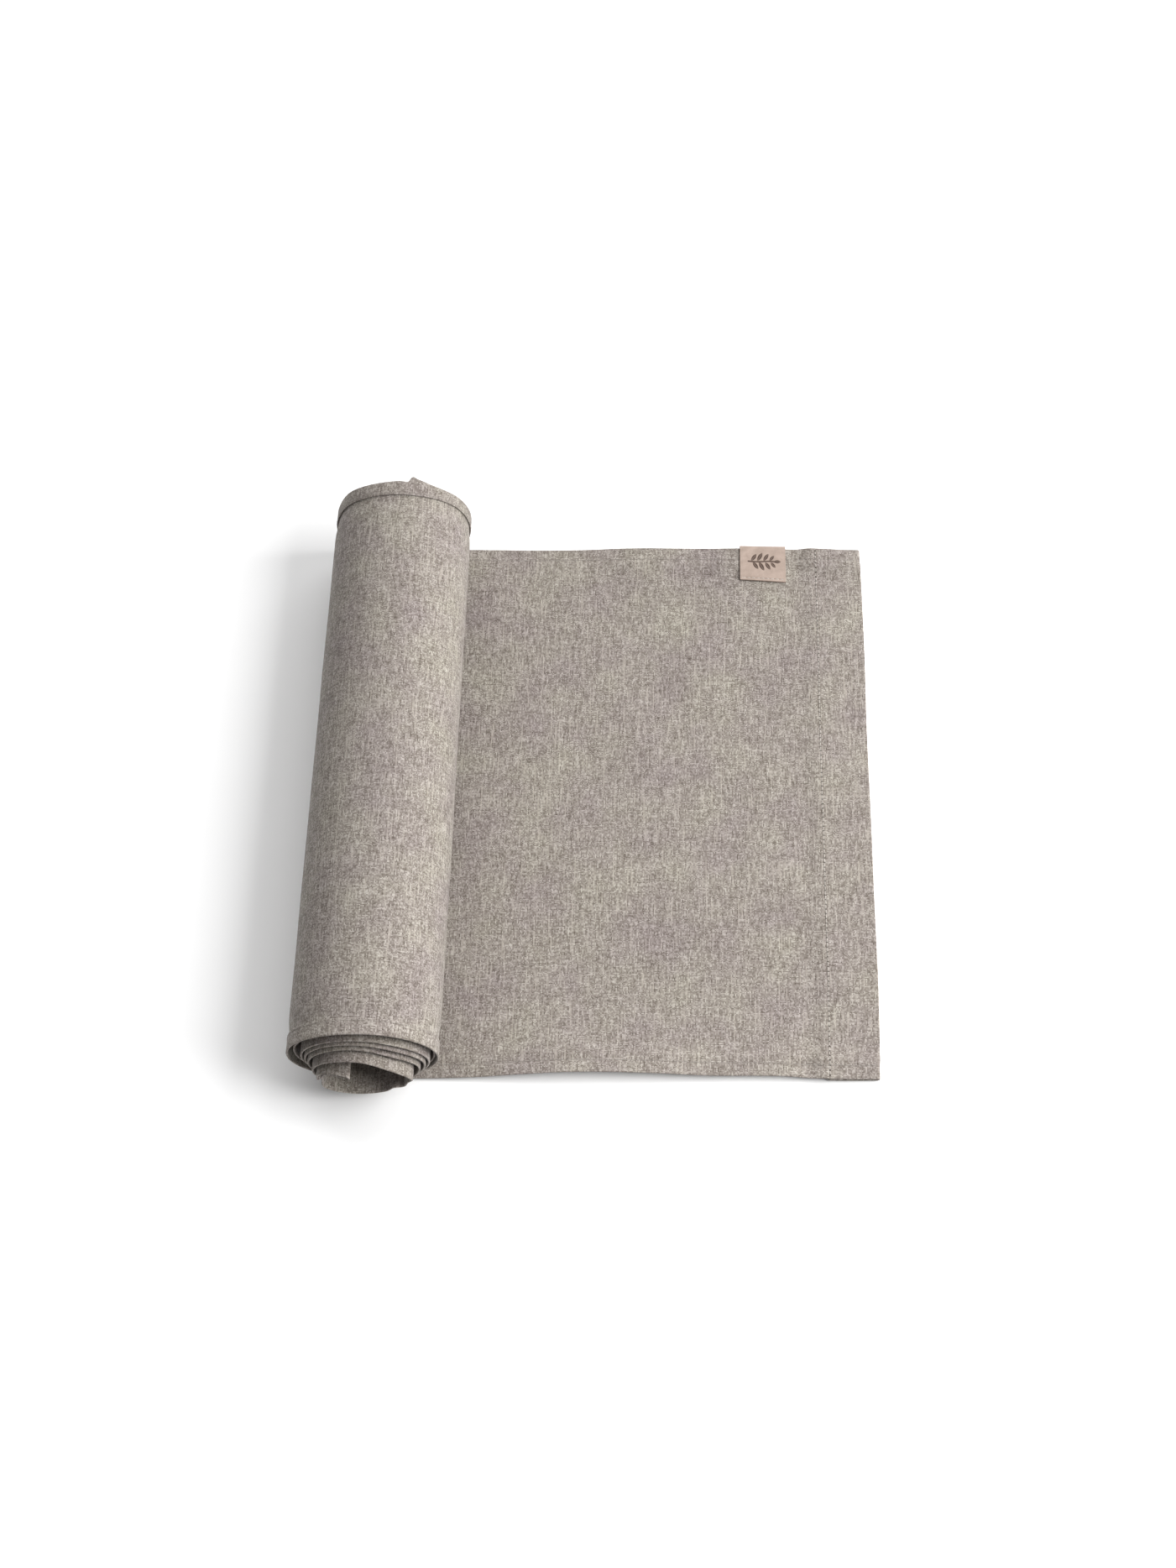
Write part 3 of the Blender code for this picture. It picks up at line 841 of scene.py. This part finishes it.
def washed_linen():
    """Plain-woven flax: tone of each yarn, slubs, flecks, cloudy washing, painted shade in the needle holes
    and weave relief.
    """
    made, tree, shader = new_material("washed_linen")
    weave = add(tree, "ShaderNodeUVMap", uv_map="weave")
    wander = add(tree, "ShaderNodeTexNoise", {"Vector": weave, "Scale": 14, "Detail": 1})
    wandering = wander.outputs["Color"]
    centred = add(tree, "ShaderNodeVectorMath", {0: wandering, 1: (0.5, 0.5, 0.5)}, operation="SUBTRACT")
    moved = add(tree, "ShaderNodeVectorMath", {0: centred, "Scale": 2 * MM}, operation="SCALE")
    uneven = add(tree, "ShaderNodeVectorMath", {0: weave, 1: moved}, operation="ADD")
    parts = add(tree, "ShaderNodeSeparateXYZ", {0: uneven})
    warp = maths(tree, "DIVIDE", parts.outputs[0], YARN)
    weft = maths(tree, "DIVIDE", parts.outputs[1], YARN)
    warp_number = maths(tree, "FLOOR", warp)
    weft_number = maths(tree, "FLOOR", weft)

    # Which yarn lies on top alternates like a chessboard.
    total = maths(tree, "ADD", warp_number, weft_number)
    on_top = maths(tree, "FLOORED_MODULO", total, 2.0)

    # Each yarn has its own tone, which changes along it.
    def yarn_tone(number, along, run, seed):
        across = maths(tree, "MULTIPLY_ADD", number, 7.31, seed)
        onward = maths(tree, "MULTIPLY", along, YARN / run)
        at = add(tree, "ShaderNodeCombineXYZ", {0: across, 1: onward})
        return add(tree, "ShaderNodeTexNoise", {"Vector": at, "Scale": 1, "Detail": 0})

    # The yarns across the runner are the more uneven ones. Both sorts show through each other a little, and
    # every crossing has a tone of its own too.
    warp_tone = yarn_tone(warp_number, weft, 11 * MM, 0)
    weft_tone = yarn_tone(weft_number, warp, 9 * MM, 91)
    weft_share = add(tree, "ShaderNodeMapRange", {0: on_top, 3: 0.40, 4: 0.80})
    streaks = add(tree, "ShaderNodeMix", {"Factor": weft_share, "A": warp_tone, "B": weft_tone})
    crossing_number = add(tree, "ShaderNodeCombineXYZ", {0: warp_number, 1: weft_number})
    fleck = add(tree, "ShaderNodeTexWhiteNoise", {"Vector": crossing_number})
    fleck = add(tree, "ShaderNodeMapRange", {0: fleck, 3: 0.155, 4: 0.405})
    tone = maths(tree, "MULTIPLY_ADD", streaks.outputs[0], 0.45, fleck)
    colour = ramp(tree, tone, (0.30, "5A524B"), (0.5, "837C76"), (0.70, "ABA6A0"))

    # Slubs are the rare thick places, paler and a few centimetres long.
    slub_noise = yarn_tone(weft_number, warp, 30 * MM, 300)
    slub = add(tree, "ShaderNodeMapRange", {0: slub_noise, 1: 0.66, 2: 0.74, 3: 0.0, 4: 0.45})
    slubbed = mixed(tree, slub, colour, linear("AAA49C"))

    # Washing leaves soft cloudy patches, warmer and cooler.
    cloud = add(tree, "ShaderNodeTexNoise", {"Vector": weave, "Scale": 22, "Detail": 3, "Roughness": 0.55})
    patch = ramp(tree, cloud, (0.3, "ECE7EB"), (0.7, "FDFEF7"))
    washed = mixed(tree, 1.0, slubbed, patch, "MULTIPLY")

    # The needle leaves a small hole at each end of a stitch, and the shade inside it is painted as a dark dot
    # where both the distance from the seam's line and the one from the nearest stitch's end are small. The
    # end seams' holes stand wider open, so their painted shade is darker.
    plain = add(tree, "ShaderNodeSeparateXYZ", {0: weave})
    needle_hole_shade = 0.0
    for near, far, line, along, start, dark in (
        (plain.outputs[0], WIDTH, SEAM_LINE, plain.outputs[1], SIDE_START, 0.25),
        (plain.outputs[1], LENGTH, END_HEM - SEAM_INSET, plain.outputs[0], END_START, 0.9),
    ):
        this_edge = maths(tree, "ABSOLUTE", near)
        other_edge = maths(tree, "SUBTRACT", far, near)
        other_edge = maths(tree, "ABSOLUTE", other_edge)
        from_edge_node = maths(tree, "MINIMUM", this_edge, other_edge)
        off_line = maths(tree, "SUBTRACT", from_edge_node, line)
        past = maths(tree, "SUBTRACT", along, start - STITCH / 2)
        in_stitch = maths(tree, "FLOORED_MODULO", past, STITCH)
        off_hole = maths(tree, "SUBTRACT", in_stitch, STITCH / 2)
        off = add(tree, "ShaderNodeCombineXYZ", {0: off_line, 1: off_hole})
        distance = add(tree, "ShaderNodeVectorMath", {0: off}, operation="LENGTH")
        reach = {0: distance.outputs["Value"], 1: 0.5 * MM, 2: 1.0 * MM, 3: dark, 4: 0.0}
        one_hole_shade = add(tree, "ShaderNodeMapRange", reach)
        needle_hole_shade = maths(tree, "MAXIMUM", one_hole_shade, needle_hole_shade)
    # Painted shade: the needle holes are darkened in the base colour.
    hole_shaded_colour = mixed(tree, needle_hole_shade, washed, linear("3A332D"))
    tree.links.new(hole_shaded_colour, shader.inputs["Base Color"])

    # The relief: each yarn is round, and highest where it crosses over the other.
    def roundness(position):
        turn = maths(tree, "MULTIPLY", position, np.pi)
        wave = maths(tree, "SINE", turn)
        return maths(tree, "ABSOLUTE", wave)

    round_warp = roundness(warp)
    round_weft = roundness(weft)
    crossing = maths(tree, "MULTIPLY", round_warp, round_weft)
    relief = maths(tree, "MULTIPLY_ADD", tone.outputs[0], 0.8, crossing)
    bump = add(tree, "ShaderNodeBump", {"Strength": 0.35, "Distance": 0.3 * MM, "Height": relief})
    tree.links.new(bump.outputs[0], shader.inputs["Normal"])
    shader.inputs["Roughness"].default_value = 0.92
    shader.inputs["Specular IOR Level"].default_value = 0.25
    shader.inputs["Sheen Weight"].default_value = 0.12
    shader.inputs["Sheen Roughness"].default_value = 0.5
    return made


cloth.data.materials.append(washed_linen())
print("linen nodes:", len(cloth.data.materials[0].node_tree.nodes))

# %% [markdown]
# ## Sewing thread
#
# The side hems are sewn with spun thread in the colour of the cloth, and the end hems and the label with a
# paler one. It is two strands twisted together, so it has slanting stripes of light and shade, which come
# from the place along and around the thread.


# %% Thread
def spun_thread(name, dark, pale):
    """Two-ply spun thread, matte, with a slanting twist of these two colours."""
    ply_length = 1.2 * MM
    made, tree, shader = new_material(name)
    weave = add(tree, "ShaderNodeUVMap", uv_map="weave")
    parts = add(tree, "ShaderNodeSeparateXYZ", {0: weave})
    along = maths(tree, "MULTIPLY", parts.outputs[1], 2 / ply_length)
    slant = maths(tree, "ADD", parts.outputs[0], along)
    turn = maths(tree, "MULTIPLY", slant, 2 * np.pi)
    twist = maths(tree, "SINE", turn)
    share = add(tree, "ShaderNodeMapRange", {0: twist, 1: -1.0, 2: 1.0})
    colour = mixed(tree, share, linear(dark), linear(pale))
    tree.links.new(colour, shader.inputs["Base Color"])
    bump = add(tree, "ShaderNodeBump", {"Strength": 0.4, "Distance": 0.1 * MM, "Height": twist})
    tree.links.new(bump.outputs[0], shader.inputs["Normal"])
    shader.inputs["Roughness"].default_value = 0.75
    return made


matching_thread = spun_thread("matching_thread", "7A746D", "9F9891")
pale_thread = spun_thread("pale_thread", "A8A29B", "D0CAC2")
for seam in [*seams.values(), label_stitches]:
    seam.data.materials.append(matching_thread if "side" in seam.name else pale_thread)
print("threads:", matching_thread.name, pale_thread.name)

# %% [markdown]
# ## Vegetable-tanned leather
#
# The label is natural, undyed leather, pale and slightly pink, with a fine grain and soft mottling. Its cut
# edges show the darker fibres, and painted shade along the label's sides makes them darker still. The hot
# stamp has scorched the sprig dark brown. Two values kept at each point of the mesh say how deep the stamp
# is and how near the cut edge is.


# %% Leather
def natural_leather():
    """Undyed vegetable-tanned leather: grain, mottling, a cut edge darkened by its own fibres and by painted
    shade, and a scorched stamp.
    """
    made, tree, shader = new_material("vegetable_tanned_leather")
    place = add(tree, "ShaderNodeTexCoord").outputs["Object"]
    grain = add(tree, "ShaderNodeTexVoronoi", {"Vector": place, "Scale": 1 / (0.7 * MM)})
    fine = add(tree, "ShaderNodeTexNoise", {"Vector": place, "Scale": 900, "Detail": 3})
    mottle = add(tree, "ShaderNodeTexNoise", {"Vector": place, "Scale": 160, "Detail": 4, "Roughness": 0.6})
    base = ramp(tree, mottle, (0.3, "8A7A6F"), (0.72, "9F8E83"))
    edge = add(tree, "ShaderNodeAttribute", attribute_name="cut_edge_and_shade")
    edge_shade_share = add(tree, "ShaderNodeMapRange", {0: edge.outputs["Fac"], 1: 0.15, 2: 0.7, 3: 0.0, 4: 0.7})
    # The cut edge's dark brown is partly the leather's own colour and partly painted shade along the label's
    # sides.
    edge_shaded = mixed(tree, edge_shade_share, base, linear("543D30"))
    stamp = add(tree, "ShaderNodeAttribute", attribute_name="stamp")
    scorch = maths(tree, "MULTIPLY", stamp.outputs["Fac"], 0.95)
    stamped = mixed(tree, scorch, edge_shaded, linear("39261B"))
    tree.links.new(stamped, shader.inputs["Base Color"])
    height = maths(tree, "MULTIPLY_ADD", grain, 0.6, fine)
    bump = add(tree, "ShaderNodeBump", {"Strength": 0.25, "Distance": 0.15 * MM, "Height": height})
    tree.links.new(bump.outputs[0], shader.inputs["Normal"])
    gloss = add(tree, "ShaderNodeMapRange", {0: mottle, 1: 0.3, 2: 0.7, 3: 0.48, 4: 0.62})
    tree.links.new(gloss.outputs[0], shader.inputs["Roughness"])
    shader.inputs["Specular IOR Level"].default_value = 0.35
    return made


label.data.materials.append(natural_leather())
print("leather nodes:", len(label.data.materials[0].node_tree.nodes))

# %% [markdown]
# ## The studio
#
# The runner lies on a plain white sweep. A wide soft light stands high on the right and a little in front,
# so the roll is brightest on its right side and throws a soft shadow to the left. A very wide, even light
# from behind brightens the face of the cloth and leaves the roll's open front end in shade, and the white
# room fills in the rest. The colours are shown as they are, without a film curve.

# %% Floor
FLOOR_SIZE = 6.0
FLOOR_GAP = 0.05 * MM  # below the lowest point, so that the two never share a plane
floor_corners = np.array([[-1, -1, 0], [1, -1, 0], [1, 1, 0], [-1, 1, 0]]) * FLOOR_SIZE / 2
lowest = min(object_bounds()[0].z, 0)
floor_corners[:, 2] = lowest - FLOOR_GAP
floor = mesh_object("floor", floor_corners, [[0, 1, 2, 3]])
paper, paper_tree, paper_shader = new_material("white_paper")
fibre = add(paper_tree, "ShaderNodeTexNoise", {"Scale": 90, "Detail": 2})
paper_colour = mixed(paper_tree, fibre, linear("F2F2F2"), linear("F5F5F5"))
paper_tree.links.new(paper_colour, paper_shader.inputs["Base Color"])
paper_shader.inputs["Roughness"].default_value = 0.9
paper_shader.inputs["Specular IOR Level"].default_value = 0.0
floor.data.materials.append(paper)


# %% Lights
def lamp(name, kind, towards, distance, power):
    """A light in this direction from the runner, turned so that it shines at it."""
    data = bpy.data.lights.new(name, kind)
    data.energy = power
    made = bpy.data.objects.new(name, data)
    bpy.context.scene.collection.objects.link(made)
    x, y, z = np.array(towards) / np.linalg.norm(towards)
    made.location = distance * np.array([x, y, z])
    made.rotation_euler = (np.arctan2(np.hypot(x, y), z), 0, np.arctan2(y, x) + np.pi / 2)
    return data


key_light = lamp("key_light", "AREA", (0.75, -0.10, 0.62), 2.1, 76)
key_light.size = 1.5
back_light = lamp("back_light", "SUN", (0.1, 0.82, 0.5), 2.1, 2.95)
back_light.angle = np.radians(80)
world = bpy.data.worlds.new("white_room")
bpy.context.scene.world = world
world.use_nodes = True
world.node_tree.nodes["Background"].inputs[0].default_value = linear("FFFFFF")
world.node_tree.nodes["Background"].inputs[1].default_value = 0.27
bpy.context.scene.view_settings.view_transform = "Standard"
print("lights:", key_light.name, back_light.name)

# %% Camera
TILT = np.radians(62.55)  # below the horizon
DISTANCE = 1.582
AIM = np.array([FLAT_END_X - 130.5 * MM, 19 * MM, 0])
camera_data = bpy.data.cameras.new("camera")
camera_data.lens = 47.5
camera_data.sensor_width = 36
camera_data.shift_x = -0.0696
camera = bpy.data.objects.new("camera", camera_data)
bpy.context.scene.collection.objects.link(camera)
camera.location = AIM + DISTANCE * np.array([0, -np.cos(TILT), np.sin(TILT)])
camera.rotation_euler = (np.pi / 2 - TILT, 0, 0)
bpy.context.scene.camera = camera
